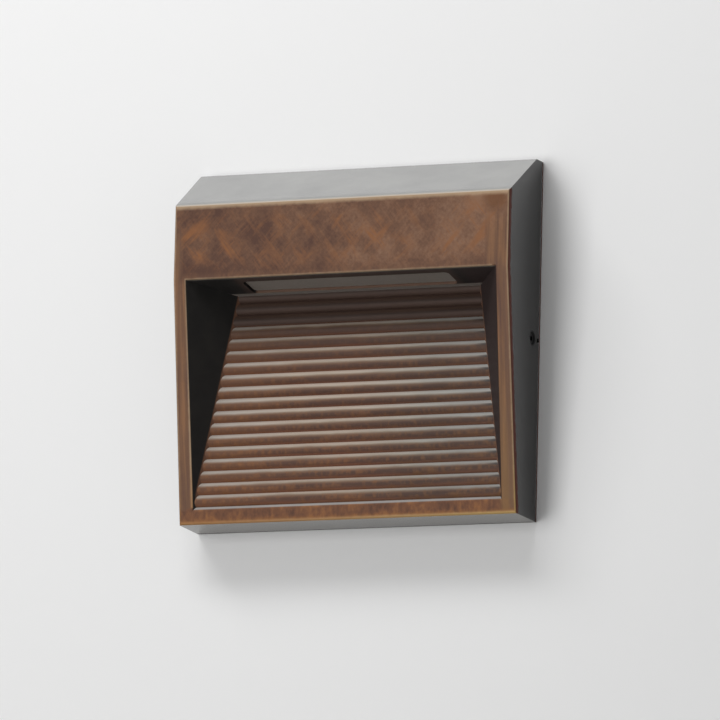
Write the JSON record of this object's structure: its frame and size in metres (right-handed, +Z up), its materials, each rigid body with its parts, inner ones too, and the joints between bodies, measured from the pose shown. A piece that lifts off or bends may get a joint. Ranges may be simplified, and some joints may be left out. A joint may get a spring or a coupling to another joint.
{
  "type": "outdoor wall sconce",
  "caption": "Square outdoor wall sconce: bronze-finished cast housing with a sloped hood over a reeded recess, a frosted downward lens and a wall plate gripped by set screws.",
  "frame": {"origin": "Middle of the back, on the wall plane, at the centre of the outlet-box screw pattern.", "axes": "X to the right seen from the front, Y into the wall, Z up; the front faces -Y."},
  "size_m": [0.14, 0.0335, 0.14],
  "materials": {
    "bronze_casting": "satin rubbed bronze over die-cast aluminium",
    "frosted_glass": "frosted",
    "seal_rubber": "matte black",
    "zinc_steel": "zinc plated",
    "bracket_aluminium": "mill",
    "screw_steel": "zinc plated",
    "pad_rubber": "matte grey",
    "white_board": "white solder mask on an aluminium core",
    "emitter_resin": "phosphor yellow",
    "white_nylon": "natural",
    "red_insulation": "satin red",
    "black_insulation": "satin black",
    "driver_plastic": "matte black",
    "potting_resin": "dull grey",
    "foam_rubber": "closed-cell foam",
    "green_screw": "green",
    "black_screw": "black oxide"
  },
  "bodies": {
    "wall_mount": {"wall_gasket": "foam_rubber", "wall_plate": "zinc_steel", "plate_grommet": "seal_rubber", "ground_washer": "screw_steel", "ground_screw": "green_screw"},
    "housing": {"housing": "bronze_casting", "lens": "frosted_glass", "lens_gasket": "seal_rubber", "lens_clamp": "zinc_steel", "led_bracket": "bracket_aluminium", "bracket_screws": "screw_steel", "thermal_pad": "pad_rubber", "led_board": "white_board", "led_emitters": "emitter_resin", "board_connector": "white_nylon", "board_screws": "screw_steel", "lead_red": "red_insulation", "lead_black": "black_insulation", "lead_clip": "white_nylon", "driver_case": "driver_plastic", "driver_potting": "potting_resin", "driver_terminal": "white_nylon", "driver_screws": "screw_steel"},
    "set_screw_left": {"set_screw_left": "black_screw"},
    "set_screw_right": {"set_screw_right": "black_screw"}
  },
  "joints": [
    {"name": "housing_slide", "type": "slide", "parent": "wall_mount", "child": "housing", "axis": [0, -1, 0], "range_m": [0, 0.05]},
    {"name": "set_screw_left_travel", "type": "slide", "parent": "housing", "child": "set_screw_left", "axis": [-1, 0, 0], "range_m": [0, 0.0035]},
    {"name": "set_screw_right_travel", "type": "slide", "parent": "housing", "child": "set_screw_right", "axis": [1, 0, 0], "range_m": [0, 0.0035]}
  ]
}
